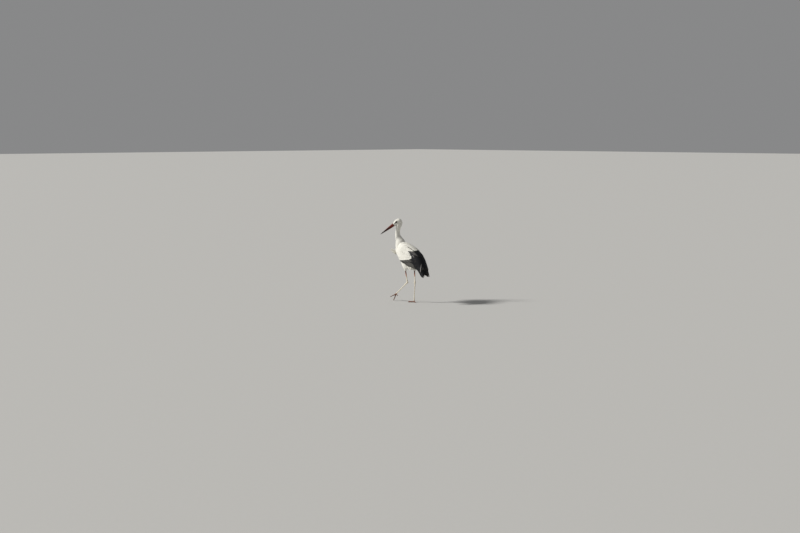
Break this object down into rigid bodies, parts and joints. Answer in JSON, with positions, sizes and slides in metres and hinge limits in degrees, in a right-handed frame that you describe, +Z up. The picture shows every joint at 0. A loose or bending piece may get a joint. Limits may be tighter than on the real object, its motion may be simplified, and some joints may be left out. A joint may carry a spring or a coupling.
{
  "type": "white stork model",
  "caption": "Life-size still model of a white stork in mid-step, white with black flight feathers, a long red bill and long legs.",
  "frame": {"origin": "on the floor under the toe joint of the right foot, which carries the bird", "axes": "+Z up, the trunk faces -Y, +X is the bird's left"},
  "size_m": [0.2539, 0.5654, 0.9063],
  "materials": {
    "white_feathers": "soft matte white feathers, cream in the light",
    "slate_feathers": "satin slate black secondary feathers",
    "black_feathers": "satin black flight feathers with a faint gloss",
    "bill": "smooth satin horn, dark red",
    "eye": "clear gloss over dark brown",
    "leg_skin": "dry scuted skin, red under a chalky film",
    "foot_skin": "dry scuted skin, dull red",
    "claw": "dark satin horn"
  },
  "bodies": {
    "root": {"head": "white_feathers", "neck_upper": "white_feathers", "neck_middle": "white_feathers", "neck_lower": "white_feathers", "trunk": "white_feathers", "tail": "white_feathers", "wing_left_scapulars": "white_feathers", "wing_left_coverts": "white_feathers", "wing_right_scapulars": "white_feathers", "wing_right_coverts": "white_feathers", "thigh_left": "white_feathers", "thigh_right": "white_feathers", "wing_left_secondaries": "slate_feathers", "wing_right_secondaries": "slate_feathers", "wing_left_tertials": "black_feathers", "wing_left_primaries": "black_feathers", "wing_right_tertials": "black_feathers", "wing_right_primaries": "black_feathers", "bill_upper": "bill", "bill_lower": "bill", "eye_left": "eye", "eye_right": "eye", "tibia_left": "leg_skin", "ankle_left": "leg_skin", "tarsus_left": "leg_skin", "tibia_right": "leg_skin", "ankle_right": "leg_skin", "tarsus_right": "leg_skin", "foot_left": "foot_skin", "toe_left_middle": "foot_skin", "toe_left_inner": "foot_skin", "toe_left_outer": "foot_skin", "toe_left_hind": "foot_skin", "foot_right": "foot_skin", "toe_right_middle": "foot_skin", "toe_right_inner": "foot_skin", "toe_right_outer": "foot_skin", "toe_right_hind": "foot_skin", "claw_left_middle": "claw", "claw_left_inner": "claw", "claw_left_outer": "claw", "claw_left_hind": "claw", "claw_right_middle": "claw", "claw_right_inner": "claw", "claw_right_outer": "claw", "claw_right_hind": "claw"}
  },
  "joints": []
}
